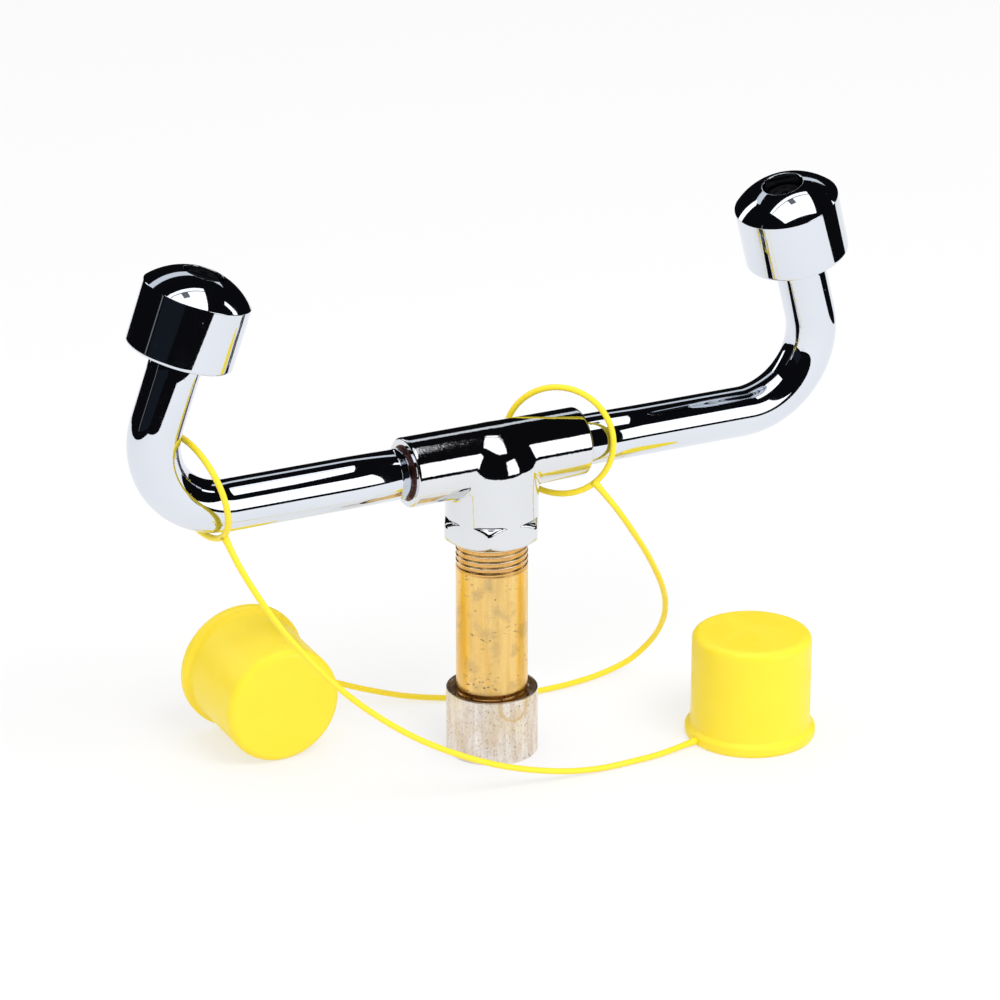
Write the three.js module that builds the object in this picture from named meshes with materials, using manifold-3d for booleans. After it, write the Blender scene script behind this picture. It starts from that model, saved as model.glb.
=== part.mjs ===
// Twin-head eyewash assembly: a chrome tee on a pipe nipple feeds two bent arms,
// and each arm ends in a spray head that shoots water up at one eye.
// Two moulded dust caps hang from the arms on thin vinyl straps.
// Millimetres, +Z up. The arms run along X, and the person who rinses their eyes stands on the -Y side.

import * as THREE from 'three';
import { mergeVertices } from 'three/addons/utils/BufferGeometryUtils.js';
import Module from 'manifold-3d';

const wasm = await Module();
wasm.setup();

// ---- driving sizes ----

const GAP = 0.3; // clearance between two pieces that touch
const ROUND = 24; // facets round a small turned piece
const FINE_ROUND = 32; // facets round a large turned piece
const SIDES = { left: -1, right: 1 };

const THREAD = { pitch: 1.814, depth: 0.7, turnsShown: 5 }; // half-inch taper pipe thread
const COUPLING = { outerR: 13.6, height: 20, recessR: 12.3, recessDepth: 3.4, chamfer: 0.4 };
const NIPPLE = { outerR: 10.67, innerR: 7.9, bottom: 3.8, top: 80 };
const HEX = { acrossFlats: 27.6, bottom: 67.6, top: 75.1, chamferDrop: 1.9 };
const BRANCH = { radius: 13.7, shoulder: 82, crown: 102.7, waterwayR: 6.6 };
const BARREL = { radius: 10.25, halfLength: 28.4, axisZ: 92.2, chamfer: 1 };
const SOCKET = { radius: 7.8, inner: 9.7, mouthR: 8.9, mouthDepth: 1.8, waterwayR: 6.3 };
const FILLET = { outerDrop: 0.5, innerRise: 0.3 }; // braze filler, from the end face of the barrel
const TUBE = { outerR: 7.5, innerR: 6.3, bendR: 22.7, bendSteps: 12 };
const ARM = { cornerX: 114.6, lean: 17.5, tilt: 5.9, cornerToHead: 51.2 }; // lean and tilt in degrees
const HEAD = { outerR: 15.4, rimZ: 18.3, domeR: 20.7, apertureR: 5.9, threadR: 13.4, boreR: 12, lipR: 1.8 };
const HEAD_Z = { shoulder: 10.9, roof: 17.5 }; // inner steps of the spray head, above its lower edge
const CAP = { bodyR: 17.9, beadR: 19.6, height: 32.8, wall: 1.5, edgeR: 2.5, beadHeight: 4 };
const STRAP_R = 0.9;
const LOOP_R = 16.2; // middle of the ring that hangs on an arm

// ---- materials ----

const CHROME = finish('#d9dcdf', 0.08, 1);
const CAST_CHROME = finish('#d3d6da', 0.14, 1);
const BRASS = finish('#c89a4b', 0.32, 1);
const NICKEL = finish('#a79c90', 0.42, 1);
const BRAZE = finish('#5a352d', 0.6, 0.6);
const STEEL = finish('#b4b6b8', 0.35, 1);
const RUBBER = finish('#1d1d1f', 0.75, 0);
const ACETAL = finish('#e7e5dc', 0.45, 0);
const BLACK_PLASTIC = finish('#232427', 0.5, 0);
const VINYL = finish('#f8e22c', 0.38, 0);

function finish(color, roughness, metalness) {
  return new THREE.MeshStandardMaterial({ color, roughness, metalness });
}

// ---- shape helpers ----

// A solid turned about Z. The outline is [radius, height] pairs, anticlockwise,
// and it closes by itself or on the axis.
function turned(outline, facets = ROUND) {
  const points = outline.map(([r, z]) => new THREE.Vector2(r, z));
  if (points[0].x > 0) points.push(points[0].clone());
  return new THREE.LatheGeometry(points, facets).rotateX(Math.PI / 2);
}

function sleeve(innerR, outerR, bottom, top, facets) {
  return turned([[outerR, bottom], [outerR, top], [innerR, top], [innerR, bottom]], facets);
}

function rod(radius, bottom, top, facets = ROUND) {
  return turned([[0, bottom], [radius, bottom], [radius, top], [0, top]], facets);
}

// Points of a circular or elliptic arc in the outline plane, from one angle to another in degrees.
function arc(r, z, radiusR, radiusZ, from, to, steps) {
  const points = [];
  for (let i = 0; i <= steps; i++) {
    const angle = THREE.MathUtils.degToRad(from + ((to - from) * i) / steps);
    points.push([r + radiusR * Math.cos(angle), z + radiusZ * Math.sin(angle)]);
  }
  return points;
}

function toManifold(geometry) {
  const bare = new THREE.BufferGeometry();
  bare.setAttribute('position', geometry.getAttribute('position').clone());
  if (geometry.index) bare.setIndex(geometry.index.clone());
  const merged = mergeVertices(bare, 1e-4);
  const corners = merged.index.array;
  const kept = [];
  for (let i = 0; i < corners.length; i += 3) {
    const [a, b, c] = [corners[i], corners[i + 1], corners[i + 2]];
    if (a !== b && b !== c && c !== a) kept.push(a, b, c);
  }
  const vertProperties = new Float32Array(merged.getAttribute('position').array);
  return new wasm.Manifold(new wasm.Mesh({ numProp: 3, vertProperties, triVerts: new Uint32Array(kept) }));
}

function toGeometry(solid) {
  const mesh = solid.getMesh();
  const geometry = new THREE.BufferGeometry();
  geometry.setAttribute('position', new THREE.BufferAttribute(new Float32Array(mesh.vertProperties), 3));
  geometry.setIndex(new THREE.BufferAttribute(new Uint32Array(mesh.triVerts), 1));
  geometry.computeVertexNormals();
  return geometry;
}

function join(...pieces) {
  return toGeometry(pieces.map(toManifold).reduce((whole, piece) => whole.add(piece)));
}

function cut(body, ...tools) {
  return toGeometry(tools.map(toManifold).reduce((whole, tool) => whole.subtract(tool), toManifold(body)));
}

function common(first, second) {
  return toGeometry(toManifold(first).intersect(toManifold(second)));
}

function circle(radius, facets) {
  const shape = new THREE.Shape();
  for (let i = 0; i < facets; i++) {
    const angle = (2 * Math.PI * i) / facets;
    const corner = [radius * Math.cos(angle), radius * Math.sin(angle)];
    if (i === 0) shape.moveTo(...corner);
    else shape.lineTo(...corner);
  }
  shape.closePath();
  return shape;
}

// A ring of holes through a disc.
function holes(count, ringR, holeR, bottom, top, facets) {
  return Array.from({ length: count }, (_, i) => {
    const angle = (2 * Math.PI * i) / count;
    return rod(holeR, bottom, top, facets).translate(ringR * Math.cos(angle), ringR * Math.sin(angle), 0);
  });
}

// ---- fixed plumbing ----

function inletCoupling() {
  const { outerR, height, recessR, recessDepth, chamfer } = COUPLING;
  const boreR = NIPPLE.outerR + GAP;
  const recessSlope = recessR - boreR;
  return turned([
    [recessR, 0],
    [outerR - chamfer, 0],
    [outerR, chamfer],
    [outerR, height - chamfer],
    [outerR - chamfer, height],
    [recessR, height],
    [recessR, height - recessDepth + recessSlope],
    [boreR, height - recessDepth],
    [boreR, recessDepth],
    [recessR, recessDepth - recessSlope],
  ], FINE_ROUND);
}

// One V groove for each turn of thread between two heights, as outline points going up.
function threadOutline(crestR, from, to) {
  const turns = Math.round((to - from) / THREAD.pitch);
  const points = [];
  for (let i = 0; i < turns; i++) {
    const crest = from + ((to - from) * i) / turns;
    points.push([crestR, crest], [crestR - THREAD.depth, crest + THREAD.pitch / 2]);
  }
  points.push([crestR, to]);
  return points;
}

function supplyNipple() {
  const { outerR, innerR, bottom, top } = NIPPLE;
  const lowerThreadEnd = COUPLING.height;
  const upperThreadStart = HEX.bottom - THREAD.turnsShown * THREAD.pitch;
  return turned([
    [innerR, bottom],
    [outerR - THREAD.depth, bottom],
    [outerR - THREAD.depth, COUPLING.height - 2 * THREAD.pitch],
    ...threadOutline(outerR, COUPLING.height - 1.5 * THREAD.pitch, lowerThreadEnd),
    ...threadOutline(outerR, upperThreadStart, HEX.bottom),
    [outerR - THREAD.depth, HEX.bottom + THREAD.pitch / 2],
    [outerR - THREAD.depth, top],
    [innerR, top],
  ]);
}

function hexCollar() {
  const { acrossFlats, bottom, top, chamferDrop } = HEX;
  const cornerR = acrossFlats / Math.sqrt(3);
  const prism = new THREE.ExtrudeGeometry(circle(cornerR, 6), { depth: top - bottom, bevelEnabled: false });
  prism.translate(0, 0, bottom);
  const cornerCut = turned([
    [0, bottom],
    [BRANCH.radius - 0.5, bottom],
    [cornerR, bottom + chamferDrop],
    [cornerR, top - chamferDrop],
    [BRANCH.radius, top],
    [0, top],
  ], FINE_ROUND);
  return common(prism, cornerCut);
}

function teeBody() {
  const { radius, halfLength, axisZ, chamfer } = BARREL;
  const barrel = alongX(turned([
    [0, -halfLength],
    [radius - chamfer, -halfLength],
    [radius, -halfLength + chamfer],
    [radius, halfLength - chamfer],
    [radius - chamfer, halfLength],
    [0, halfLength],
  ], FINE_ROUND));
  const branch = turned([
    [0, HEX.top - 1],
    [BRANCH.radius, HEX.top - 1],
    ...arc(0, BRANCH.shoulder, BRANCH.radius, BRANCH.crown - BRANCH.shoulder, 0, 90, 8).slice(0, -1),
    [0, BRANCH.crown],
  ], FINE_ROUND);
  const crossBore = alongX(rod(SOCKET.waterwayR, -halfLength - 1, halfLength + 1));
  const sockets = Object.values(SIDES).flatMap((side) => [
    alongX(rod(SOCKET.radius, SOCKET.inner, halfLength + 1), side),
    alongX(rod(SOCKET.mouthR, halfLength - SOCKET.mouthDepth, halfLength + 1), side),
  ]);
  const nippleBore = rod(NIPPLE.outerR + GAP, HEX.bottom - 1, NIPPLE.top + GAP);
  const riser = rod(BRANCH.waterwayR, NIPPLE.top, axisZ);
  return cut(join(hexCollar(), branch, barrel), crossBore, ...sockets, nippleBore, riser);
}

// Lays a shape made along Z on the barrel's axis, towards one side.
function alongX(geometry, side = 1) {
  return geometry.rotateY((side * Math.PI) / 2).translate(0, 0, BARREL.axisZ);
}

function brazeRing(side) {
  const inner = TUBE.outerR + GAP;
  const outer = SOCKET.mouthR - GAP;
  const end = BARREL.halfLength;
  return alongX(turned([
    [inner, end - SOCKET.mouthDepth + GAP],
    [outer, end - SOCKET.mouthDepth + GAP],
    [outer, end - FILLET.outerDrop],
    [inner, end + FILLET.innerRise],
  ]), side);
}

// ---- arms ----

// A pipe's centreline as stations, so that every step of the extrusion lands where the pipe bends.
class PipePath extends THREE.Curve {
  constructor(points, tangents) {
    super();
    this.points = points;
    this.tangents = tangents;
  }

  between(list, t) {
    const place = t * (list.length - 1);
    const i = Math.min(Math.floor(place), list.length - 2);
    return list[i].clone().lerp(list[i + 1], place - i);
  }

  getPoint(t) {
    return this.between(this.points, t);
  }

  getTangent(t) {
    return this.between(this.tangents, t).normalize();
  }

  getPointAt(t) {
    return this.getPoint(t);
  }

  getTangentAt(t) {
    return this.getTangent(t);
  }
}

// The direction in which an arm's upright leg points: in towards the middle and forward to the user.
function legDirection(side) {
  const lean = THREE.MathUtils.degToRad(ARM.lean);
  const tilt = THREE.MathUtils.degToRad(ARM.tilt);
  const rise = Math.cos(lean);
  return new THREE.Vector3(-side * Math.sin(lean), -rise * Math.sin(tilt), rise * Math.cos(tilt));
}

function armCorner(side) {
  return new THREE.Vector3(side * ARM.cornerX, 0, BARREL.axisZ);
}

function armPath(side) {
  const along = new THREE.Vector3(side, 0, 0);
  const tilt = THREE.MathUtils.degToRad(ARM.tilt);
  const up = new THREE.Vector3(0, -Math.sin(tilt), Math.cos(tilt));
  const turn = THREE.MathUtils.degToRad(90 + ARM.lean);
  const setback = TUBE.bendR * Math.tan(turn / 2);
  const bendStart = armCorner(side).addScaledVector(along, -setback);
  const bendCentre = bendStart.clone().addScaledVector(up, TUBE.bendR);
  const points = [new THREE.Vector3(side * (SOCKET.inner + GAP), 0, BARREL.axisZ)];
  const tangents = [along];
  for (let i = 0; i <= TUBE.bendSteps; i++) {
    const angle = (turn * i) / TUBE.bendSteps;
    const outward = along.clone().multiplyScalar(Math.sin(angle)).addScaledVector(up, -Math.cos(angle));
    points.push(bendCentre.clone().addScaledVector(outward, TUBE.bendR));
    tangents.push(along.clone().multiplyScalar(Math.cos(angle)).addScaledVector(up, Math.sin(angle)));
  }
  const leg = legDirection(side);
  points.push(armCorner(side).addScaledVector(leg, ARM.cornerToHead + ADAPTER.top - GAP));
  tangents.push(leg);
  return new PipePath(points, tangents);
}

function armTube(side) {
  const section = circle(TUBE.outerR, ROUND);
  section.holes.push(circle(TUBE.innerR, ROUND));
  const extrudePath = armPath(side);
  const steps = extrudePath.points.length - 1;
  return new THREE.ExtrudeGeometry(section, { steps, extrudePath, bevelEnabled: false });
}

// ---- spray head, made upright with its lower edge at height 0 ----

const ADAPTER = { bottom: 1.2, top: 9, outerR: HEAD.threadR - GAP, chamfer: 0.6 };
const GASKET = { bottom: ADAPTER.top + GAP, top: HEAD_Z.shoulder - GAP };
const INSERT_R = HEAD.boreR - GAP;
const CLIP = { bottom: HEAD_Z.shoulder + 0.1, top: HEAD_Z.shoulder + 0.7, innerR: 9.2 };
const REGULATOR = {
  bottom: CLIP.top + GAP,
  top: CLIP.top + GAP + 2,
  grooveR: 10.1,
  grooveHalf: 0.7,
  centreR: 1.6,
  orificeRing: 5,
  orificeR: 0.9,
};
const SEAL_R = 0.4;
const SCREEN = { bottom: REGULATOR.top + GAP, top: REGULATOR.top + GAP + 0.6, holeR: 1.3 };
const SCREEN_RINGS = [[6, 3.4], [10, 7.2]]; // holes in each ring, and the ring's radius
const NOZZLE = {
  bottom: SCREEN.top + GAP,
  top: 21,
  flangeTop: HEAD_Z.roof - GAP,
  bossR: HEAD.apertureR - 0.6,
  chamfer: 0.6,
  centreR: 1.2,
  jetRing: 3.2,
  jetR: 0.7,
};

function headAdapter() {
  const { bottom, top, outerR, chamfer } = ADAPTER;
  const innerR = TUBE.outerR + GAP;
  return turned([
    [innerR, bottom],
    [outerR - chamfer, bottom],
    [outerR, bottom + chamfer],
    [outerR, top - chamfer],
    [outerR - chamfer, top],
    [innerR, top],
  ]);
}

function domeHeight(radius) {
  const centre = HEAD.rimZ - Math.sqrt(HEAD.domeR ** 2 - HEAD.outerR ** 2);
  return centre + Math.sqrt(HEAD.domeR ** 2 - radius ** 2);
}

function headShell() {
  const { outerR, apertureR, threadR, boreR, lipR, rimZ } = HEAD;
  const domeSteps = 5;
  const dome = Array.from({ length: domeSteps }, (_, i) => {
    const radius = outerR - ((outerR - apertureR - 0.5) * (i + 1)) / domeSteps;
    return [radius, domeHeight(radius)];
  });
  return turned([
    [threadR, 0],
    ...arc(outerR - lipR, lipR, lipR, lipR, -90, 0, 3),
    [outerR, rimZ],
    ...dome,
    [apertureR, domeHeight(apertureR) - 0.5],
    [apertureR, HEAD_Z.roof],
    [boreR, HEAD_Z.roof],
    [boreR, HEAD_Z.shoulder],
    [threadR, HEAD_Z.shoulder],
  ], FINE_ROUND);
}

function headGasket() {
  return sleeve(TUBE.innerR, ADAPTER.outerR, GASKET.bottom, GASKET.top);
}

function retainingRing() {
  return sleeve(CLIP.innerR, INSERT_R, CLIP.bottom, CLIP.top);
}

function flowRegulator() {
  const { bottom, top, grooveR, grooveHalf, centreR, orificeRing, orificeR } = REGULATOR;
  const middle = (bottom + top) / 2;
  const disc = turned([
    [0, bottom],
    [INSERT_R, bottom],
    [INSERT_R, middle - grooveHalf],
    [grooveR, middle - grooveHalf],
    [grooveR, middle + grooveHalf],
    [INSERT_R, middle + grooveHalf],
    [INSERT_R, top],
    [0, top],
  ]);
  const orifices = holes(6, orificeRing, orificeR, bottom - 1, top + 1, 8);
  return cut(disc, rod(centreR, bottom - 1, top + 1, 12), ...orifices);
}

function regulatorSeal() {
  const ringR = (REGULATOR.grooveR + HEAD.boreR) / 2;
  const middle = (REGULATOR.bottom + REGULATOR.top) / 2;
  return new THREE.TorusGeometry(ringR, SEAL_R, 5, ROUND).translate(0, 0, middle);
}

function strainerScreen() {
  const { bottom, top, holeR } = SCREEN;
  const perforations = SCREEN_RINGS.flatMap(([count, ringR]) => (
    holes(count, ringR, holeR, bottom - 1, top + 1, 5)
  ));
  return cut(rod(INSERT_R, bottom, top), rod(holeR, bottom - 1, top + 1, 5), ...perforations);
}

function sprayNozzle() {
  const { bottom, top, flangeTop, bossR, chamfer, centreR, jetRing, jetR } = NOZZLE;
  const body = turned([
    [0, bottom],
    [INSERT_R, bottom],
    [INSERT_R, flangeTop],
    [bossR, flangeTop],
    [bossR, top - chamfer],
    [bossR - chamfer, top],
    [0, top],
  ]);
  const jets = holes(6, jetRing, jetR, bottom - 1, top + 1, 8);
  return cut(body, rod(centreR, bottom - 1, top + 1, 12), ...jets);
}

// ---- dust caps and their straps ----

// Upright, open end at height 0. The mouth ends in a round bead that the strap is moulded to.
function dustCap() {
  const { bodyR, beadR, height, wall, edgeR, beadHeight } = CAP;
  const beadDepth = beadR - bodyR;
  return turned([
    [bodyR - wall, 0],
    [beadR - 0.7, 0],
    ...arc(beadR - beadDepth, beadHeight / 2, beadDepth, beadHeight / 2, -45, 90, 4),
    ...arc(bodyR - edgeR, height - edgeR, edgeR, edgeR, 0, 90, 3),
    [0, height],
    [0, height - wall],
    [bodyR - edgeR, height - wall],
    [bodyR - wall, height - edgeR],
  ], FINE_ROUND);
}

function strap(route) {
  const points = route.map((point) => new THREE.Vector3(...point));
  const extrudePath = new THREE.CatmullRomCurve3(points, false, 'centripetal');
  const steps = Math.round(extrudePath.getLength() / (5 * STRAP_R));
  return new THREE.ExtrudeGeometry(circle(STRAP_R, 8), { steps, extrudePath, bevelEnabled: false });
}

function loop() {
  return new THREE.TorusGeometry(LOOP_R, STRAP_R, 8, ROUND);
}

// Each tether: where its loop rests, where its cap lies, and the strap's centreline from the loop to the cap.
const TETHERS = {
  front: {
    loopCentre: [-93.3, 1.3, 99.0],
    loopAxis: [-0.956, -0.16, -0.247],
    capMouth: [73.5, -26.6, 0],
    capAxis: [0, 0, 1],
    route: [
      [-88.1, -8.6, 85.4],
      [-86.6, -15.0, 78.6],
      [-83.1, -21.7, 69.9],
      [-78.1, -25.5, 61.3],
      [-72.0, -28.1, 53.0],
      [-65.2, -29.6, 45.0],
      [-57.6, -30.3, 37.4],
      [-49.4, -30.6, 30.4],
      [-40.6, -30.5, 23.8],
      [-31.3, -30.4, 18.0],
      [-21.7, -30.3, 12.9],
      [-11.7, -30.3, 8.5],
      [-1.5, -30.3, 5.1],
      [9.0, -30.6, 2.6],
      [19.6, -30.8, 1.3],
      [30.2, -30.8, 1.2],
      [41.0, -30.0, 1.2],
      [53.1, -28.1, 1.8],
    ],
  },
  rear: {
    loopCentre: [22.7, 1, 93],
    loopAxis: [0.635, 0.77, -0.059],
    capMouth: [-59, 50.9, 19.7],
    capAxis: [0, -0.9983, -0.058],
    route: [
      [31.3, -7.1, 80.0],
      [36.8, -9.0, 72.4],
      [43.1, -7.0, 63.9],
      [49.4, -3.4, 55.6],
      [55.3, 0.7, 47.2],
      [60.7, 5.1, 38.6],
      [65.4, 10.9, 29.7],
      [68.3, 17.6, 20.7],
      [68.2, 24.0, 12.2],
      [63.6, 28.9, 4.7],
      [54.9, 29.8, 1.6],
      [44.1, 28.1, 1.2],
      [32.7, 27.5, 1.2],
      [21.6, 28.8, 1.2],
      [11.3, 32.0, 1.2],
      [1.4, 36.8, 1.2],
      [-8.3, 42.2, 1.8],
      [-18.0, 47.1, 3.8],
      [-27.9, 50.1, 7.2],
      [-39.6, 50.9, 12.4],
    ],
  },
};

// ---- assembly ----

const assembly = new THREE.Group();

function place(parent, name, geometry, material) {
  const mesh = new THREE.Mesh(geometry, material);
  mesh.name = name;
  parent.add(mesh);
  return mesh;
}

// A group whose own +Z points along the axis, with its origin at the given place.
function standOn(position, axis) {
  const group = new THREE.Group();
  group.position.copy(position);
  group.quaternion.setFromUnitVectors(new THREE.Vector3(0, 0, 1), axis.clone().normalize());
  return group;
}

const plumbing = new THREE.Group();
place(plumbing, 'inlet_coupling', inletCoupling(), NICKEL);
place(plumbing, 'supply_nipple', supplyNipple(), BRASS);
place(plumbing, 'tee_body', teeBody(), CAST_CHROME);
for (const [name, side] of Object.entries(SIDES)) {
  place(plumbing, `${name}_arm_tube`, armTube(side), CHROME);
  place(plumbing, `${name}_braze_ring`, brazeRing(side), BRAZE);
  const leg = legDirection(side);
  const head = standOn(armCorner(side).addScaledVector(leg, ARM.cornerToHead), leg);
  place(head, `${name}_head_adapter`, headAdapter(), CHROME);
  place(head, `${name}_head_gasket`, headGasket(), RUBBER);
  place(head, `${name}_head_shell`, headShell(), CHROME);
  place(head, `${name}_retaining_ring`, retainingRing(), STEEL);
  place(head, `${name}_flow_regulator`, flowRegulator(), ACETAL);
  place(head, `${name}_regulator_seal`, regulatorSeal(), RUBBER);
  place(head, `${name}_strainer_screen`, strainerScreen(), STEEL);
  place(head, `${name}_spray_nozzle`, sprayNozzle(), BLACK_PLASTIC);
  plumbing.add(head);
}
assembly.add(plumbing);

const plumbingBox = new THREE.Box3().setFromObject(plumbing);

for (const [name, tether] of Object.entries(TETHERS)) {
  const hung = standOn(new THREE.Vector3(...tether.loopCentre), new THREE.Vector3(...tether.loopAxis));
  place(hung, `${name}_loop`, loop(), VINYL);
  const lying = standOn(new THREE.Vector3(...tether.capMouth), new THREE.Vector3(...tether.capAxis));
  place(lying, `${name}_cap`, dustCap(), VINYL);
  place(assembly, `${name}_strap`, strap(tether.route), VINYL);
  assembly.add(hung, lying);
}

// The origin is under the middle of the plumbing, on the surface that it stands on.
assembly.position.y = -(plumbingBox.min.y + plumbingBox.max.y) / 2;

export default assembly;
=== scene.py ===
"""Looks, light and camera for the twin-head eyewash assembly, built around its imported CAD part.

Metres, +Z up. The arms run along X, and the camera's side is -Y. Sizes are written in millimetres times MM.
"""

import math

import bmesh
import bpy
import numpy as np
from mathutils import Matrix, Vector


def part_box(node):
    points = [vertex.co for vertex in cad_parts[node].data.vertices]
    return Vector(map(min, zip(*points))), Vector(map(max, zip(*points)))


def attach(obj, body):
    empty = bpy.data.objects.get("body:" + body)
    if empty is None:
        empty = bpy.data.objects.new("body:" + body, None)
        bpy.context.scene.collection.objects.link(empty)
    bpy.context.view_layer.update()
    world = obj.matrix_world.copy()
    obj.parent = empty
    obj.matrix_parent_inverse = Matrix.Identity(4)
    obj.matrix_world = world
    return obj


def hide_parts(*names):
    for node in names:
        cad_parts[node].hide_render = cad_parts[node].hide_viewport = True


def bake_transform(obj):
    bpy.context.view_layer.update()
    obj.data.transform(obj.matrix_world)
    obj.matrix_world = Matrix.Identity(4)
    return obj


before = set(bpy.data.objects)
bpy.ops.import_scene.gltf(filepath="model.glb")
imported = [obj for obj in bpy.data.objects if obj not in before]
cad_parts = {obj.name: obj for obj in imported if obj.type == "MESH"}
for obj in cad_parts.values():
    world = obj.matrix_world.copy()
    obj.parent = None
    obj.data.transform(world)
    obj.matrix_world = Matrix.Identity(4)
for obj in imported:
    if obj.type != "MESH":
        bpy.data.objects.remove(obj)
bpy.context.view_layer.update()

MM = 0.001
UP = Vector((0, 0, 1))
SIDES = {"left": -1, "right": 1}


# ---- where things are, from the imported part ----


def middle(node):
    low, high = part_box(node)
    return (low + high) / 2


def leg_direction(name):
    """The way an upright leg points, from two rings that sit on its axis."""
    return (middle(f"{name}_flow_regulator") - middle(f"{name}_head_adapter")).normalized()


AXIS_Y = middle("inlet_coupling").y
BARREL_Z = middle("left_braze_ring").z
COUPLING_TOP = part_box("inlet_coupling")[1].z
NIPPLE_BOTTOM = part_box("supply_nipple")[0].z
HEX_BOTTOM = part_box("tee_body")[0].z
BARREL_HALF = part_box("tee_body")[1].x

TUBE_R = 7.5 * MM
BEND_R = 22.7 * MM
ADAPTER_MIDDLE = 5.1 * MM  # height of the adapter's middle above the lower edge of its head
TUBE_START = 10 * MM  # inside the tee, from its middle
TUBE_TOP = 8.7 * MM  # inside the head, above its lower edge
STRAP_R = 0.9 * MM
LOOP_R = 16.2 * MM


# ---- camera ----

CAMERA_AZIMUTH = math.radians(-27.7)
CAMERA_ELEVATION = math.radians(21.0)
CAMERA_DISTANCE = 1.146
CAMERA_TARGET = Vector((2.7 * MM, AXIS_Y, 78.3 * MM))
CAMERA_LENS = 141.6  # mm on a 36 mm sensor


def make_camera():
    back = Vector((
        math.sin(CAMERA_AZIMUTH) * math.cos(CAMERA_ELEVATION),
        -math.cos(CAMERA_AZIMUTH) * math.cos(CAMERA_ELEVATION),
        math.sin(CAMERA_ELEVATION),
    ))
    data = bpy.data.cameras.new("camera")
    data.lens = CAMERA_LENS
    data.sensor_width = 36
    data.clip_start = 0.05
    camera = bpy.data.objects.new("camera", data)
    camera.location = CAMERA_TARGET + back * CAMERA_DISTANCE
    camera.rotation_mode = "QUATERNION"
    camera.rotation_quaternion = (-back).to_track_quat("-Z", "Y")
    bpy.context.scene.collection.objects.link(camera)
    bpy.context.scene.camera = camera


# ---- materials ----


class Surface:
    """A Principled material, with helpers that chain procedural nodes onto it."""

    def __init__(self, name, **constants):
        self.material = bpy.data.materials.new(name)
        self.material.use_nodes = True
        self.tree = self.material.node_tree
        self.shader = self.tree.nodes["Principled BSDF"]
        self.place = self.tree.nodes.new("ShaderNodeTexCoord").outputs["Object"]
        self.height = None
        for socket, value in constants.items():
            self.shader.inputs[socket.replace("_", " ")].default_value = value

    def feed(self, node, **inputs):
        for socket, value in inputs.items():
            target = node.inputs[socket.replace("_", " ")]
            if isinstance(value, bpy.types.NodeSocket):
                self.tree.links.new(value, target)
            else:
                target.default_value = value
        return node

    def stretched(self, size, stretch):
        mapping = self.tree.nodes.new("ShaderNodeMapping")
        scale = [1 / (size * s) for s in stretch]
        return self.feed(mapping, Vector=self.place, Scale=scale).outputs["Vector"]

    def noise(self, size, detail=3.0, stretch=(1, 1, 1), rough=0.55):
        """Noise whose features have about this size in metres, drawn out along the axes by stretch."""
        node = self.tree.nodes.new("ShaderNodeTexNoise")
        vector = self.stretched(size, stretch)
        return self.feed(node, Vector=vector, Scale=1.0, Detail=detail, Roughness=rough).outputs["Fac"]

    def cells(self, size, stretch=(1, 1, 1)):
        """Distance to the nearest of a field of scattered points, in cell sizes."""
        node = self.tree.nodes.new("ShaderNodeTexVoronoi")
        return self.feed(node, Vector=self.stretched(size, stretch), Scale=1.0).outputs["Distance"]

    def level(self, value, low, high, start=0.0, end=1.0):
        """Start below low, end above high, and a smooth step between."""
        node = self.tree.nodes.new("ShaderNodeMapRange")
        node.interpolation_type = "SMOOTHSTEP"
        sockets = {"From_Min": low, "From_Max": high, "To_Min": start, "To_Max": end}
        return self.feed(node, Value=value, **sockets).outputs["Result"]

    def math(self, operation, first, second=0.0):
        node = self.tree.nodes.new("ShaderNodeMath")
        node.operation = operation
        for socket, value in zip(node.inputs, (first, second)):
            if isinstance(value, bpy.types.NodeSocket):
                self.tree.links.new(value, socket)
            else:
                socket.default_value = value
        return node.outputs[0]

    def blend(self, amount, first, second):
        """Colour from first to second as amount goes from 0 to 1."""
        node = self.tree.nodes.new("ShaderNodeMix")
        node.data_type = "RGBA"
        factor, a, b = node.inputs[0], node.inputs[6], node.inputs[7]
        for socket, value in ((factor, amount), (a, first), (b, second)):
            if isinstance(value, bpy.types.NodeSocket):
                self.tree.links.new(value, socket)
            else:
                socket.default_value = value
        return node.outputs[2]

    def axis(self, name):
        node = self.tree.nodes.new("ShaderNodeSeparateXYZ")
        return self.feed(node, Vector=self.place).outputs[name]

    def colour(self, value):
        self.tree.links.new(value, self.shader.inputs["Base Color"])

    def roughness(self, value):
        self.tree.links.new(value, self.shader.inputs["Roughness"])

    def relief(self, height, depth):
        """Adds bumps of this depth in metres, where height goes from 0 to 1."""
        node = self.tree.nodes.new("ShaderNodeBump")
        self.feed(node, Strength=1.0, Distance=depth, Height=height)
        if self.height is not None:
            self.tree.links.new(self.height, node.inputs["Normal"])
        self.height = node.outputs["Normal"]
        self.tree.links.new(self.height, self.shader.inputs["Normal"])


def rgb(red, green, blue):
    return (red, green, blue, 1.0)


def chrome(name, dark, light, peel_depth, peel_size, speck_spacing):
    """Bright plate: mirror smooth, with a faint orange peel, wipe marks and a few dull specks."""
    surface = Surface(name, Metallic=1.0)
    surface.colour(surface.blend(surface.noise(30 * MM, 2), rgb(*dark), rgb(*light)))
    wiped = surface.level(surface.noise(9 * MM, 4, (1, 1, 2.5)), 0.45, 0.75, 0.025, 0.075)
    specks = surface.level(surface.cells(speck_spacing), 0.03, 0.06, 0.22, 0.0)
    surface.roughness(surface.math("ADD", wiped, specks))
    surface.relief(surface.noise(peel_size, 3), peel_depth)
    surface.relief(surface.noise(0.25 * MM, 2, (1, 1, 6)), 0.25 * peel_depth)
    return surface.material


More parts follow.
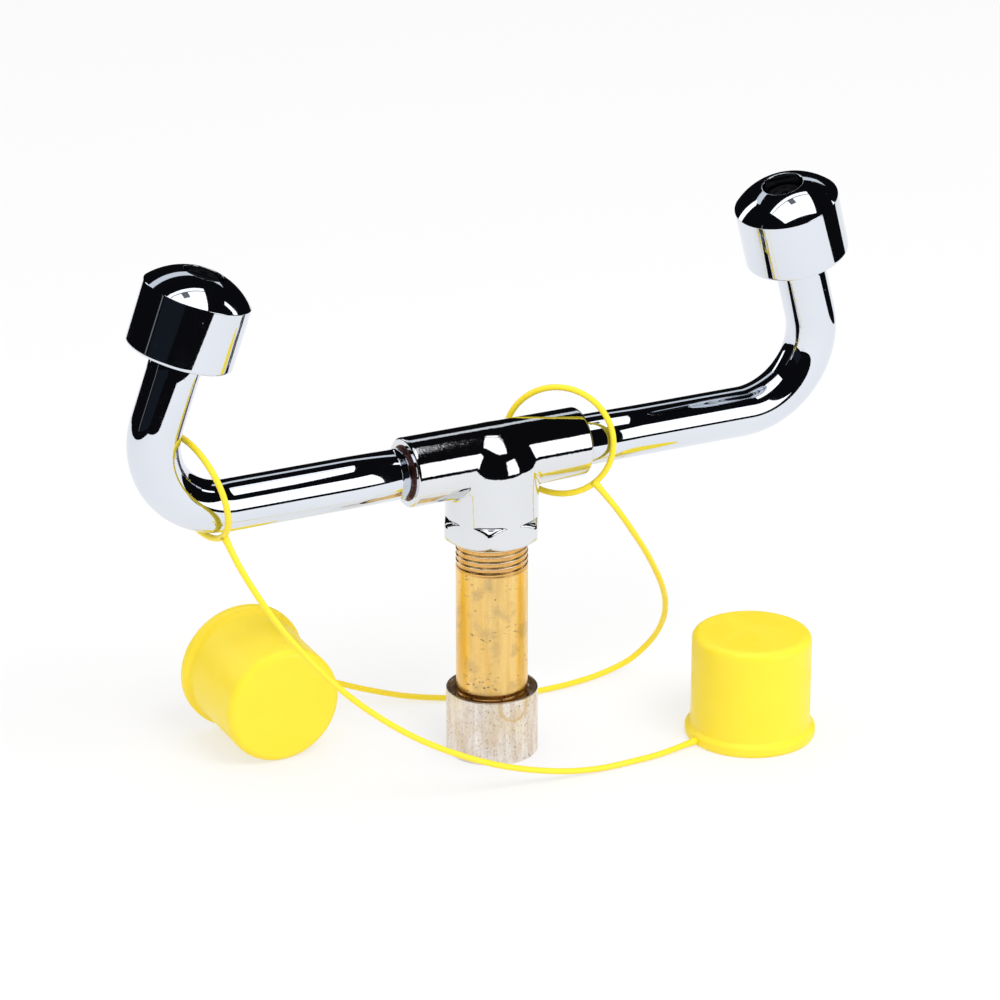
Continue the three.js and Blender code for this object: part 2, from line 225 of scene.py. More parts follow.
def brass():
    """Drawn brass with lengthwise streaks, scuffs and tarnish, coppery where it is threaded, and a painted
    highlight of pale cream along the thread's crests.
    """
    surface = Surface("brass", Metallic=1.0)
    streaks = surface.noise(1.1 * MM, 3, (1, 1, 30))
    gold = surface.blend(streaks, rgb(0.83, 0.50, 0.14), rgb(0.97, 0.72, 0.30))
    clouds = surface.level(surface.noise(7 * MM, 5), 0.52, 0.66, 0.0, 0.55)
    dulled = surface.blend(clouds, gold, rgb(0.60, 0.42, 0.20))
    patch = surface.level(surface.noise(12 * MM, 2), 0.5, 0.62)
    flecks = surface.level(surface.noise(0.9 * MM, 3, (2.2, 2.2, 1)), 0.60, 0.68)
    scuffs = surface.math("MULTIPLY", patch, flecks)
    scuffed = surface.blend(scuffs, dulled, rgb(0.27, 0.22, 0.19))
    specks = surface.level(surface.cells(4.2 * MM), 0.045, 0.075, 0.85, 0.0)
    specked = surface.blend(specks, scuffed, rgb(0.16, 0.09, 0.04))
    upper = surface.level(surface.axis("Z"), THREAD_START - 0.6 * MM, THREAD_START)
    lower = surface.level(surface.axis("Z"), LOWER_THREAD_END - 0.6 * MM, LOWER_THREAD_END, 1.0, 0.0)
    threaded = surface.math("MAXIMUM", upper, lower)
    copper = surface.blend(streaks, rgb(0.72, 0.38, 0.11), rgb(0.88, 0.55, 0.20))
    coppery = surface.blend(threaded, specked, copper)
    # Painted highlight: where the thread stands at full height, its crests are coloured pale cream in place
    # of the light they catch.
    from_axis = surface.math("SUBTRACT", surface.axis("Y"), AXIS_Y)
    squares = [surface.math("POWER", side, 2.0) for side in (surface.axis("X"), from_axis)]
    reach = surface.math("SQRT", surface.math("ADD", *squares))
    crest = surface.level(reach, NIPPLE_R - 0.14 * MM, NIPPLE_R - 0.04 * MM)
    full_depth = surface.level(surface.axis("Z"), THREAD_START + 1.1 * MM, THREAD_START + 1.5 * MM)
    painted_crest_highlight = surface.math("MULTIPLY", crest, full_depth)
    surface.colour(surface.blend(painted_crest_highlight, coppery, rgb(1.0, 0.88, 0.64)))
    dull = surface.level(surface.noise(3 * MM, 4, (1, 1, 5)), 0.35, 0.7, 0.24, 0.40)
    surface.roughness(surface.math("ADD", dull, surface.math("MULTIPLY", scuffs, 0.25)))
    surface.relief(surface.noise(0.35 * MM, 3, (1, 1, 40)), 4e-6)
    surface.relief(flecks, 6e-6)
    return surface.material


def nickel():
    """Dull plate with lengthwise marks, rusty freckles and one round water stain near the top edge."""
    surface = Surface("nickel", Metallic=1.0)
    streaks = surface.level(surface.noise(1.6 * MM, 5, (1, 1, 12)), 0.22, 0.78)
    grey = surface.blend(streaks, rgb(0.70, 0.63, 0.57), rgb(0.96, 0.90, 0.83))
    clouds = surface.level(surface.noise(5 * MM, 5, (1, 1, 2)), 0.45, 0.7, 0.0, 0.65)
    warm = surface.blend(clouds, grey, rgb(0.74, 0.58, 0.40))
    mottle = surface.level(surface.noise(0.8 * MM, 5, (1, 1, 1.3)), 0.48, 0.72, 0.0, 0.6)
    mottled = surface.blend(mottle, warm, rgb(0.50, 0.40, 0.34))
    freckles = surface.level(surface.noise(0.8 * MM, 2), 0.64, 0.72, 0.0, 0.8)
    freckled = surface.blend(freckles, mottled, rgb(0.22, 0.14, 0.09))
    spot = surface.tree.nodes.new("ShaderNodeVectorMath")
    spot.operation = "DISTANCE"
    surface.feed(spot, Vector=surface.place)
    spot.inputs[1].default_value = WATER_STAIN
    wobble = surface.math("MULTIPLY", surface.noise(2 * MM, 2), 0.8 * MM)
    reach = surface.math("ADD", spot.outputs["Value"], wobble)
    ring = surface.math("ABSOLUTE", surface.math("SUBTRACT", reach, WATER_STAIN_R))
    stain = surface.level(ring, 0.15 * MM, 0.9 * MM, 0.7, 0.0)
    surface.colour(surface.blend(stain, freckled, rgb(0.72, 0.50, 0.24)))
    dull = surface.level(surface.noise(4 * MM, 4, (1, 1, 4)), 0.3, 0.7, 0.24, 0.42)
    surface.roughness(dull)
    surface.relief(surface.noise(0.3 * MM, 3, (1, 1, 60)), 6e-6)
    surface.relief(freckles, 8e-6)
    return surface.material


def braze():
    """Oxidised filler: dark red-brown with a little raw brass showing."""
    surface = Surface("braze", Metallic=0.7)
    patches = surface.level(surface.noise(1.6 * MM, 4), 0.5, 0.68)
    surface.colour(surface.blend(patches, rgb(0.065, 0.018, 0.016), rgb(0.28, 0.11, 0.06)))
    surface.roughness(surface.level(surface.noise(0.7 * MM, 3), 0.3, 0.7, 0.3, 0.6))
    surface.relief(surface.noise(0.5 * MM, 4), 40e-6)
    return surface.material


def steel():
    surface = Surface("steel", Metallic=1.0)
    grain = surface.noise(0.3 * MM, 3, (12, 1, 1))
    surface.colour(surface.blend(grain, rgb(0.50, 0.51, 0.53), rgb(0.70, 0.71, 0.72)))
    surface.roughness(surface.level(grain, 0.3, 0.7, 0.28, 0.42))
    surface.relief(grain, 4e-6)
    return surface.material


def moulding(name, dark, light, smooth, dull, gloss=0.5):
    """A plain moulded plastic or rubber, from its darkest to its lightest tone."""
    surface = Surface(name, Specular_IOR_Level=gloss)
    surface.colour(surface.blend(surface.noise(4 * MM, 3), rgb(*dark), rgb(*light)))
    surface.roughness(surface.level(surface.noise(1.5 * MM, 3), 0.3, 0.7, smooth, dull))
    surface.relief(surface.noise(0.3 * MM, 2), 5e-6)
    return surface.material


def vinyl():
    """Soft yellow vinyl: even colour, a low gloss, a fine grain, and some dust and rubbed patches."""
    surface = Surface("vinyl", Subsurface_Weight=0.08, Subsurface_Scale=0.003)
    surface.shader.inputs["Subsurface Radius"].default_value = (1.0, 0.7, 0.1)
    clouds = surface.noise(11 * MM, 3)
    yellow = surface.blend(clouds, rgb(0.93, 0.70, 0.018), rgb(0.96, 0.755, 0.03))
    dust = surface.level(surface.cells(6.5 * MM), 0.02, 0.035, 0.35, 0.0)
    surface.colour(surface.blend(dust, yellow, rgb(0.62, 0.46, 0.10)))
    surface.roughness(surface.level(surface.noise(6 * MM, 4), 0.35, 0.65, 0.33, 0.48))
    surface.relief(surface.noise(0.35 * MM, 3), 7e-6)
    surface.relief(surface.noise(9 * MM, 1), 50e-6)
    return surface.material


# ---- mesh helpers ----


def keep(name, mesh, material, body):
    """Makes a piece of the object from a mesh, finished and riding on its body."""
    piece = bpy.data.objects.new(name, mesh)
    bpy.context.scene.collection.objects.link(piece)
    mesh.materials.append(material)
    mesh.polygons.foreach_set("use_smooth", [True] * len(mesh.polygons))
    if body is not None:
        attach(piece, body)
    return piece


def skin(name, rings, looped=False, capped=False):
    """A mesh over rings of points, each closed on itself. looped joins the last ring to the first."""
    count, sides = rings.shape[:2]
    index = np.arange(count * sides).reshape(count, sides)
    last = count if looped else count - 1
    faces = []
    for i in range(last):
        here, above = index[i], index[(i + 1) % count]
        for j in range(sides):
            k = (j + 1) % sides
            faces.append((here[j], here[k], above[k], above[j]))
    if capped:
        faces.append(tuple(index[0][::-1]))
        faces.append(tuple(index[-1]))
    mesh = bpy.data.meshes.new(name)
    faces = [tuple(int(v) for v in face) for face in faces]
    mesh.from_pydata(rings.reshape(-1, 3).tolist(), [], faces)
    tidy = bmesh.new()
    tidy.from_mesh(mesh)
    bmesh.ops.remove_doubles(tidy, verts=tidy.verts, dist=1e-7)
    bmesh.ops.recalc_face_normals(tidy, faces=tidy.faces)
    tidy.to_mesh(mesh)
    tidy.free()
    return mesh


def seat(origin, axis):
    """The placement of a piece made along Z, with its lower edge at height 0."""
    turn = UP.rotation_difference(Vector(axis)).to_matrix().to_4x4()
    return Matrix.Translation(origin) @ turn


def rounded(corners, steps=6):
    """An outline through (radius, height, fillet) corners, given in millimetres and returned in metres."""
    points = []
    for i, (radius, height, fillet) in enumerate(corners):
        here = np.array((radius, height), float)
        if fillet == 0:
            points.append(here)
            continue
        before = here - np.array(corners[i - 1][:2])
        after = np.array(corners[(i + 1) % len(corners)][:2]) - here
        room_before, room_after = np.linalg.norm(before), np.linalg.norm(after)
        before /= room_before
        after /= room_after
        turn = math.acos(max(-1.0, min(1.0, float(before @ after))))
        inward = after - (after @ before) * before
        inward /= np.linalg.norm(inward)
        reach = min(fillet * math.tan(turn / 2), 0.45 * room_before, 0.45 * room_after)
        arc_r = reach / math.tan(turn / 2)
        start = here - before * reach
        points.append(start - before * min(0.3 * reach, 0.04 * room_before))
        for step in range(steps + 1):
            angle = turn * step / steps
            points.append(start + arc_r * (math.sin(angle) * before + (1 - math.cos(angle)) * inward))
        points.append(here + after * (reach + min(0.3 * reach, 0.04 * room_after)))
    return np.array(points) * MM


def turned(name, outline, place, sides=144):
    """A solid turned about Z from a closed outline in metres, then put in its place."""
    angles = np.linspace(0, 2 * math.pi, sides, endpoint=False)
    rings = np.empty((len(outline), sides, 3))
    rings[:, :, 0] = outline[:, :1] * np.cos(angles)
    rings[:, :, 1] = outline[:, :1] * np.sin(angles)
    rings[:, :, 2] = outline[:, 1:]
    mesh = skin(name, rings, looped=True)
    mesh.transform(place)
    return mesh


def dense(points, step):
    """Points along a smooth curve through the given ones, about a step apart."""
    points = np.asarray(points, float)
    ends = (2 * points[0] - points[1], 2 * points[-1] - points[-2])
    padded = np.vstack([ends[0], points, ends[1]])
    out = []
    for i in range(len(points) - 1):
        a, b, c, d = padded[i : i + 4]
        for t in np.linspace(0, 1, max(2, round(np.linalg.norm(c - b) / step)), endpoint=False):
            slope = (c - a) * t + (2 * a - 5 * b + 4 * c - d) * t**2 + (3 * b - a - 3 * c + d) * t**3
            out.append(b + slope / 2)
    out.append(points[-1])
    return np.array(out)


def swept(name, path, radius, sides, looped=False):
    """A round bar along a path. radius is one number, or one for each point of the path."""
    ahead = np.gradient(path, axis=0)
    if looped:
        ahead = np.roll(path, -1, 0) - np.roll(path, 1, 0)
    ahead /= np.linalg.norm(ahead, axis=1, keepdims=True)
    radii = np.broadcast_to(radius, len(path))
    across = np.cross(ahead[0], (0.3, 0.9, 0.2))
    angles = np.linspace(0, 2 * math.pi, sides, endpoint=False)
    rings = []
    for point, direction, r in zip(path, ahead, radii):
        across = across - (across @ direction) * direction
        across /= np.linalg.norm(across)
        other = np.cross(direction, across)
        ring = np.cos(angles)[:, None] * across + np.sin(angles)[:, None] * other
        rings.append(point + r * ring)
    return skin(name, np.array(rings), looped, capped=not looped)


# ---- fixed plumbing ----

THREAD_PITCH = 1.814 * MM
THREAD_DEPTH = 0.34 * MM
THREAD_START = HEX_BOTTOM - 5 * THREAD_PITCH
LOWER_THREAD_END = COUPLING_TOP + 1.2 * MM
NIPPLE_R = 10.67 * MM
NIPPLE_BORE_R = 7.9 * MM
SHANK_WEAR = 0.05 * MM  # how far the rubbed shank lies below the crests
COUPLING_R = 13.6
COUPLING_HEIGHT = 20.0
WATER_STAIN = (0.4 * MM, AXIS_Y - 13.6 * MM, 18.4 * MM)
WATER_STAIN_R = 4.9 * MM


def inlet_coupling(finish):
    mouth, recess, bore, depth = 13.0, 12.3, 10.97, 3.4
    slope = recess - bore
    outline = rounded([
        (mouth, 0, 0.15),
        (COUPLING_R, 0, 0.3),
        (COUPLING_R, COUPLING_HEIGHT, 0.3),
        (mouth, COUPLING_HEIGHT, 0.15),
        (recess, COUPLING_HEIGHT - depth + slope, 0.2),
        (bore, COUPLING_HEIGHT - depth, 0.2),
        (bore, depth, 0.2),
        (recess, depth - slope, 0.2),
    ])
    mesh = turned("coupling_sleeve", outline, Matrix.Translation((0, AXIS_Y, 0)))
    piece = keep("coupling_sleeve", mesh, finish, "plumbing")
    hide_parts("inlet_coupling")


def thread_cut(turns):
    """Depth of the thread's groove as turns go by: 0 at its narrow crest, 1 all across its broad root."""
    from_crest = 1 - np.abs(turns % 1 - 0.5) * 2
    return np.clip((from_crest - 0.1) / 0.4, 0, 1)


def supply_nipple(finish):
    sides = 160
    heights = np.concatenate([
        np.arange(NIPPLE_BOTTOM, COUPLING_TOP - 4 * MM, 1.5 * MM),
        np.arange(COUPLING_TOP - 4 * MM, LOWER_THREAD_END + 0.5 * MM, 0.12 * MM),
        np.arange(LOWER_THREAD_END + 0.5 * MM, THREAD_START - 0.5 * MM, 1.2 * MM),
        np.arange(THREAD_START - 0.5 * MM, HEX_BOTTOM + 2 * MM, 0.12 * MM),
    ])
    angles = np.linspace(0, 2 * math.pi, sides, endpoint=False)
    z, angle = np.meshgrid(heights, angles, indexing="ij")
    turns = z / THREAD_PITCH - angle / (2 * math.pi)
    upper = np.clip((z - THREAD_START) / (0.8 * THREAD_PITCH), 0, 1)
    lower = np.clip((LOWER_THREAD_END - z) / (0.8 * THREAD_PITCH), 0, 1)
    threaded = np.maximum(upper, lower)
    radius = NIPPLE_R - SHANK_WEAR * (1 - threaded) - THREAD_DEPTH * thread_cut(turns) * threaded
    rings = np.stack([radius * np.cos(angle), AXIS_Y + radius * np.sin(angle), z], axis=-1)
    inner = np.array([[NIPPLE_BORE_R, z[-1, 0]], [NIPPLE_BORE_R, z[0, 0]]])
    bore = np.empty((2, sides, 3))
    bore[:, :, 0] = inner[:, :1] * np.cos(angles)
    bore[:, :, 1] = AXIS_Y + inner[:, :1] * np.sin(angles)
    bore[:, :, 2] = inner[:, 1:]
    mesh = skin("nipple_pipe", np.concatenate([rings, bore]), looped=True)
    piece = keep("nipple_pipe", mesh, finish, "plumbing")
    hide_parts("supply_nipple")


# ---- the cast tee, as a field of distances to its surface ----

BARREL_R = 10.25 * MM
BRANCH_R = 13.7 * MM
BRANCH_SHOULDER = 89.5 * MM
BRANCH_CROWN = 101.6 * MM
HEX_FLATS = 27.1 * MM
HEX_TOP = 75.1 * MM
MOUTH_R = 8.05 * MM
MOUTH_DEPTH = 1.8 * MM
BARREL_EDGE = 0.9 * MM  # how widely each edge or joint of the casting is blended
MOUTH_EDGE = 0.3 * MM
HEX_CORNER = 0.7 * MM
HEX_EDGE = 0.5 * MM
ENTRY_EDGE = 0.4 * MM
COLLAR_BLEND = 0.15 * MM
BRANCH_BLEND = 1.2 * MM
TEE_MESH_SIZE = 0.36 * MM


def soft_min(a, b, width):
    blend = np.clip(0.5 + 0.5 * (b - a) / width, 0, 1)
    return b + (a - b) * blend - width * blend * (1 - blend)


def soft_max(a, b, width):
    return -soft_min(-a, -b, width)


def barrel_distance(x, y, z):
    """A round bar along X, with a shallow groove for the filler at each end."""
    around = np.hypot(y, z - BARREL_Z)
    bar = soft_max(around - BARREL_R, np.abs(x) - BARREL_HALF, BARREL_EDGE)
    mouth = soft_max(around - MOUTH_R, BARREL_HALF - MOUTH_DEPTH - np.abs(x), MOUTH_EDGE)
    return soft_max(bar, -mouth, MOUTH_EDGE)


def branch_distance(across, z):
    """An upright round post that ends in half an ellipsoid."""
    rise = np.maximum(z - BRANCH_SHOULDER, 0)
    half = BRANCH_CROWN - BRANCH_SHOULDER
    near = np.hypot(across / BRANCH_R, rise / half)
    steep = np.hypot(across / BRANCH_R**2, rise / half**2)
    post = near * (near - 1) / np.maximum(steep, 1e-9)
    return np.maximum(post, HEX_BOTTOM + 2 * MM - z)


def collar_distance(x, y, z, across):
    """A hexagon whose corners are turned off to a cone above and below."""
    flats = [x * math.cos(a) + y * math.sin(a) for a in np.radians(30 + 60 * np.arange(6))]
    collar = flats[0] - HEX_FLATS / 2
    for flat in flats[1:]:
        collar = soft_max(collar, flat - HEX_FLATS / 2, HEX_CORNER)
    rise, reach = 0.78, 0.62  # the cones' slope
    top_cone = (z - HEX_TOP) * rise + (across - BRANCH_R) * reach
    bottom_cone = (HEX_BOTTOM - z) * rise + (across - BRANCH_R + 0.5 * MM) * reach
    for cut in (top_cone, bottom_cone, HEX_BOTTOM - z, z - HEX_TOP):
        collar = soft_max(collar, cut, HEX_EDGE)
    return collar


def tee_distance(points):
    x, y, z = points[:, 0], points[:, 1] - AXIS_Y, points[:, 2]
    across = np.hypot(x, y)
    stem = soft_min(branch_distance(across, z), collar_distance(x, y, z, across), COLLAR_BLEND)
    solid = soft_min(barrel_distance(x, y, z), stem, BRANCH_BLEND)
    entry = soft_max(across - NIPPLE_R - 0.35 * MM, z - HEX_BOTTOM - 1.5 * MM, 0.2 * MM)
    return soft_max(solid, -entry, ENTRY_EDGE)


def tee_slope(points):
    """The way out of the tee at each point."""
    step = 0.01 * MM
    slope = np.empty_like(points)
    for axis in range(3):
        shift = np.zeros(3)
        shift[axis] = step
        slope[:, axis] = (tee_distance(points + shift) - tee_distance(points - shift)) / (2 * step)
    return slope


def rough_tee():
    """Overlapping plain solids, remeshed into one skin a little proud of the real surface."""
    shapes = bmesh.new()
    parts = [(BARREL_R, 2 * BARREL_HALF, seat((0, AXIS_Y, BARREL_Z), (1, 0, 0)))]
    for radius, low, high in (
        (BRANCH_R, HEX_BOTTOM, BRANCH_SHOULDER),
        (0.8 * BRANCH_R, HEX_TOP, BRANCH_CROWN),
    ):
        parts.append((radius, high - low, seat((0, AXIS_Y, (low + high) / 2), UP)))
    for radius, depth, place in parts:
        bmesh.ops.create_cone(
            shapes, cap_ends=True, segments=96, radius1=radius, radius2=radius, depth=depth, matrix=place
        )
    mesh = bpy.data.meshes.new("rough_tee")
    shapes.to_mesh(mesh)
    shapes.free()
    holder = bpy.data.objects.new("rough_tee", mesh)
    bpy.context.scene.collection.objects.link(holder)
    remesh = holder.modifiers.new("remesh", "REMESH")
    remesh.mode = "VOXEL"
    remesh.voxel_size = TEE_MESH_SIZE
    skin_mesh = bpy.data.meshes.new_from_object(holder.evaluated_get(bpy.context.evaluated_depsgraph_get()))
    bpy.data.objects.remove(holder)
    return skin_mesh


def tee_body(finish):
    """The rough skin, drawn in until it lies on the field's surface, with the field's own normals."""
    mesh = rough_tee()
    points = np.empty(len(mesh.vertices) * 3)
    mesh.vertices.foreach_get("co", points)
    points = points.reshape(-1, 3)
    for _ in range(12):
        slope = tee_slope(points)
        step = tee_distance(points)[:, None] * slope / np.maximum((slope**2).sum(1, keepdims=True), 0.2)
        points -= np.clip(step, -0.6 * MM, 0.6 * MM)
    mesh.vertices.foreach_set("co", points.ravel())
    mesh.update()
    piece = keep("tee_casting", mesh, finish, "plumbing")
    slope = tee_slope(points)
    mesh.normals_split_custom_set_from_vertices(slope / np.linalg.norm(slope, axis=1, keepdims=True))
    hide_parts("tee_body")


def braze_ring(name, side, finish):
    """A lumpy bead of filler between the tube and the mouth of the barrel."""
    sides = 120
    angle = np.linspace(0, 2 * math.pi, sides, endpoint=False)
    lumps = 0.08 * np.sin(5 * angle + side) + 0.05 * np.sin(11 * angle) + 0.03 * np.sin(23 * angle + 1)
    profile = [(7.4, -1.6), (7.45, 0.22), (7.65, 0.16), (7.9, 0.02), (8.12, -0.22), (8.12, -1.6)]
    rings = np.empty((len(profile), sides, 3))
    for ring, (radius, out) in zip(rings, profile):
        grown = (out + lumps * (out > -1)) * MM
        ring[:, 0] = side * (BARREL_HALF + grown)
        ring[:, 1] = AXIS_Y + radius * MM * np.cos(angle)
        ring[:, 2] = BARREL_Z + radius * MM * np.sin(angle)
    piece = keep(f"{name}_braze_fillet", skin(name, rings, looped=True), finish, "plumbing")
    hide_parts(f"{name}_braze_ring")


def head_base(name):
    """Where the leg's axis crosses the lower edge of its head."""
    return middle(f"{name}_head_adapter") - leg_direction(name) * ADAPTER_MIDDLE


def arm_path(name, side):
    """Centreline of an arm: out of the barrel, round the bend and up the leg."""
    leg = leg_direction(name)
    base = head_base(name)
    corner = base - leg * ((base.z - BARREL_Z) / leg.z)
    along = Vector((side, 0, 0))
    turn = along.angle(leg)
    upward = (leg - along * along.dot(leg)).normalized()
    setback = BEND_R * math.tan(turn / 2)
    start = corner - along * setback
    centre = start + upward * BEND_R
    inner_end = Vector((side * TUBE_START, AXIS_Y, BARREL_Z))
    straight = [inner_end.lerp(start, t) for t in (0, 0.5, 0.96)]
    bend_steps = 56
    bend = []
    for i in range(bend_steps + 1):
        angle = turn * i / bend_steps
        bend.append(centre + BEND_R * (math.sin(angle) * along - math.cos(angle) * upward))
    top = base + leg * TUBE_TOP
    leg_points = [bend[-1].lerp(top, t) for t in (0.04, 0.5, 1)]
    return np.array([tuple(p) for p in straight + bend + leg_points])


def arm_tube(name, side, finish):
    mesh = swept(f"{name}_arm_bar", arm_path(name, side), TUBE_R, 112)
    piece = keep(f"{name}_arm_bar", mesh, finish, "plumbing")
    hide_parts(f"{name}_arm_tube")


# ---- spray heads ----

HEAD_R = 15.4
HEAD_RIM = 18.3
DOME_R = 20.7
APERTURE_R = 5.9
HEAD_THREAD_R = 13.4
HEAD_BORE_R = 12
HEAD_SHOULDER = 10.9
HEAD_ROOF = 17.5
JET_RING_R = 3.2


def dome_height(radius):
    """Height of the domed top above the head's lower edge, at a radius."""
    centre = HEAD_RIM - math.sqrt(DOME_R**2 - HEAD_R**2)
    return centre + math.sqrt(DOME_R**2 - radius**2)


def head_shell(name, finish):
    dome_radii = np.linspace(HEAD_R, APERTURE_R, 26)
    dome = [(r, dome_height(r), 0) for r in dome_radii[2:-2]]
    outline = rounded([
        (HEAD_THREAD_R, 0, 0.4),
        (HEAD_R, 0, 1.7),
        (HEAD_R, HEAD_RIM, 0.45),
        *dome,
        (APERTURE_R, dome_height(APERTURE_R), 0.45),
        (APERTURE_R, HEAD_ROOF, 0.2),
        (HEAD_BORE_R, HEAD_ROOF, 0.2),
        (HEAD_BORE_R, HEAD_SHOULDER, 0.2),
        (HEAD_THREAD_R, HEAD_SHOULDER, 0.2),
    ], steps=8)
    mesh = turned(f"{name}_head_cover", outline, seat(head_base(name), leg_direction(name)), sides=192)
    piece = keep(f"{name}_head_cover", mesh, finish, f"{name}_head")
    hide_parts(f"{name}_head_shell")


def spray_nozzle(name, finish):
    """The dark insert in the aperture: a ring of six jets round a centre one, each with a raised lip."""
    boss_r, top, flange_r, flange_top, bottom = 5.3, 21.0, 11.7, 17.2, 15.1
    edge, lip_height, lip_width, jet_depth, jet_edge = 0.6, 0.25, 0.18, 2.2, 0.15
    jets = [(0.0, 0.0, 1.2)]
    for a in np.radians(60 * np.arange(6)):
        jets.append((JET_RING_R * math.cos(a), JET_RING_R * math.sin(a), 0.7))
    radii = np.concatenate([np.linspace(0, boss_r, 72), [boss_r, flange_r, flange_r, 0]])
    angles = np.linspace(0, 2 * math.pi, 144, endpoint=False)
    reach, angle = np.meshgrid(radii, angles, indexing="ij")
    x, y = reach * np.cos(angle), reach * np.sin(angle)
    height = top - 0.5 * np.clip((reach - boss_r + edge) / edge, 0, 1) ** 2
    for jet_x, jet_y, jet_r in jets:
        away = np.hypot(x - jet_x, y - jet_y)
        height += lip_height * np.exp(-(((away - jet_r - 0.2) / lip_width) ** 2))
        height -= jet_depth * np.clip((jet_r - away) / jet_edge, 0, 1)
    height[-4:] = [[flange_top], [flange_top], [bottom], [bottom]]
    mesh = skin(f"{name}_nozzle_insert", np.stack([x, y, height], axis=-1) * MM)
    mesh.transform(seat(head_base(name), leg_direction(name)))
    piece = keep(f"{name}_nozzle_insert", mesh, finish, f"{name}_head")
    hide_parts(f"{name}_spray_nozzle")


def refinish(node, finish):
    """Keeps a CAD node as it is, with a better material."""
    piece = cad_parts[node]
    piece.data.materials.clear()
    piece.data.materials.append(finish)


def inner_parts(name, finishes):
    refinish(f"{name}_head_adapter", finishes["chrome"])
    refinish(f"{name}_head_gasket", finishes["rubber"])
    refinish(f"{name}_retaining_ring", finishes["steel"])
    refinish(f"{name}_flow_regulator", finishes["acetal"])
    refinish(f"{name}_regulator_seal", finishes["rubber"])
    refinish(f"{name}_strainer_screen", finishes["steel"])


# ---- dust caps and their straps ----

# Where each strap's loop hangs and its cap lies, and the strap's own line, in mm from the coupling's axis.
TETHERS = {
    "front": {
        "loop_axis": (-0.956, -0.16, -0.247),
        "cap_mouth": (73.5, -26.6, 0),
        "cap_axis": (0, 0, 1),
        "bend": ((-20, -30, 0), (53, -28, 0)),
        "route": [
            (-88.1, -8.6, 85.4),
            (-86.6, -15.0, 78.6),
            (-83.1, -21.7, 69.9),
            (-78.1, -25.5, 61.3),
            (-72.0, -28.1, 53.0),
            (-65.2, -29.6, 45.0),
            (-57.6, -30.3, 37.4),
            (-49.4, -30.6, 30.4),
            (-40.6, -30.5, 23.8),
            (-31.3, -30.4, 18.0),
            (-21.7, -30.3, 12.9),
            (-11.7, -30.3, 8.5),
            (-1.5, -30.3, 5.1),
            (9.0, -30.6, 2.6),
            (19.6, -30.8, 1.3),
            (30.2, -30.8, 1.2),
            (41.0, -30.0, 1.2),
            (53.1, -28.1, 1.8),
        ],
    },
    "rear": {
        "loop_axis": (0.635, 0.77, -0.059),
        "cap_mouth": (-59, 50.9, 19.7),
        "cap_axis": (0, -0.9983, -0.058),
        "bend": ((30, 30, 0), (-39.6, 50.9, 0)),
        "route": [
            (31.3, -7.1, 80.0),
            (36.8, -9.0, 72.4),
            (43.1, -7.0, 63.9),
            (49.4, -3.4, 55.6),
            (55.3, 0.7, 47.2),
            (60.7, 5.1, 38.6),
            (65.4, 10.9, 29.7),
            (68.3, 17.6, 20.7),
            (68.2, 24.0, 12.2),
            (63.6, 28.9, 4.7),
            (54.9, 29.8, 1.6),
            (44.1, 28.1, 1.2),
            (32.7, 27.5, 1.2),
            (21.6, 28.8, 1.2),
            (11.3, 32.0, 1.2),
            (1.4, 36.8, 1.2),
            (-8.3, 42.2, 1.8),
            (-18.0, 47.1, 3.8),
            (-27.9, 50.1, 7.2),
            (-39.6, 50.9, 12.4),
        ],
    },
}


def placed(point):
    """A point in mm from the coupling's axis, in the part's own frame."""
    return Vector(point) * MM + Vector((0, AXIS_Y, 0))


def dust_cap(name, tether, finish):
    """A cup with a soft top edge, thick walls and a round bead at its mouth."""
    body_r, bead_r, dish_r, height, wall = 17.9, 19.6, 9, 32.8, 1.5
    outline = rounded([
        (body_r - wall, 0, 0.35),
        (bead_r - 0.5, 0, 0.6),
        (bead_r, 1.0, 0.6),
        (bead_r, 3.0, 0.9),
        (body_r + 0.2, 4.1, 0.5),
        (body_r, 8, 0),
        (body_r, height, 2.3),
        (dish_r, height, 0),
        (0, height - 0.05, 0),
        (0, height - wall, 0),
        (body_r - wall, height - wall, 1.5),
    ], steps=8)
    mesh = turned(f"{name}_dust_cap", outline, seat(placed(tether["cap_mouth"]), tether["cap_axis"]))
    piece = keep(f"{name}_dust_cup", mesh, finish, f"{name}_dust_cap")
    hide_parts(f"{name}_cap")
    return piece


def strap_loop(name, tether, finish):
    """The ring at the strap's end that hangs on the arm."""
    centre = middle(f"{name}_loop")
    place = seat(centre, tether["loop_axis"])
    angles = np.linspace(0, 2 * math.pi, 160, endpoint=False)
    circle = [Vector((LOOP_R * math.cos(a), LOOP_R * math.sin(a), 0)) for a in angles]
    path = np.array([tuple(place @ point) for point in circle])
    mesh = swept(f"{name}_strap_ring", path, STRAP_R, 20, looped=True)
    piece = keep(f"{name}_strap_ring", mesh, finish, f"{name}_tether")
    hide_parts(f"{name}_loop")
    return piece


def strap(name, tether, finish):
    """The strap itself, a little thicker where it grows out of its ring and into the cap."""
    into_ring, into_cap = 1.3 * MM, 0.9 * MM
    flare_gain, ring_flare, cap_flare = 0.45, 1.6 * MM, 1.8 * MM
    route = np.array([tuple(placed(p)) for p in tether["route"]])
    centre = np.array(middle(f"{name}_loop"))
    inward = (centre - route[0]) / np.linalg.norm(centre - route[0])
    path = dense(np.vstack([route[0] + inward * into_ring, route]), 1.2 * MM)
    past = path[-1] - path[-2]
    path = np.vstack([path, path[-1] + past / np.linalg.norm(past) * into_cap])
    along = np.concatenate([[0], np.cumsum(np.linalg.norm(np.diff(path, axis=0), axis=1))])
    flare = np.exp(-along / ring_flare) + np.exp(-(along[-1] - along) / cap_flare)
    mesh = swept(f"{name}_strap_cord", path, STRAP_R * (1 + flare_gain * flare), 16)
    piece = keep(f"{name}_strap_cord", mesh, finish, None)
    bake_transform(piece)
    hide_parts(f"{name}_strap")


# ---- studio ----

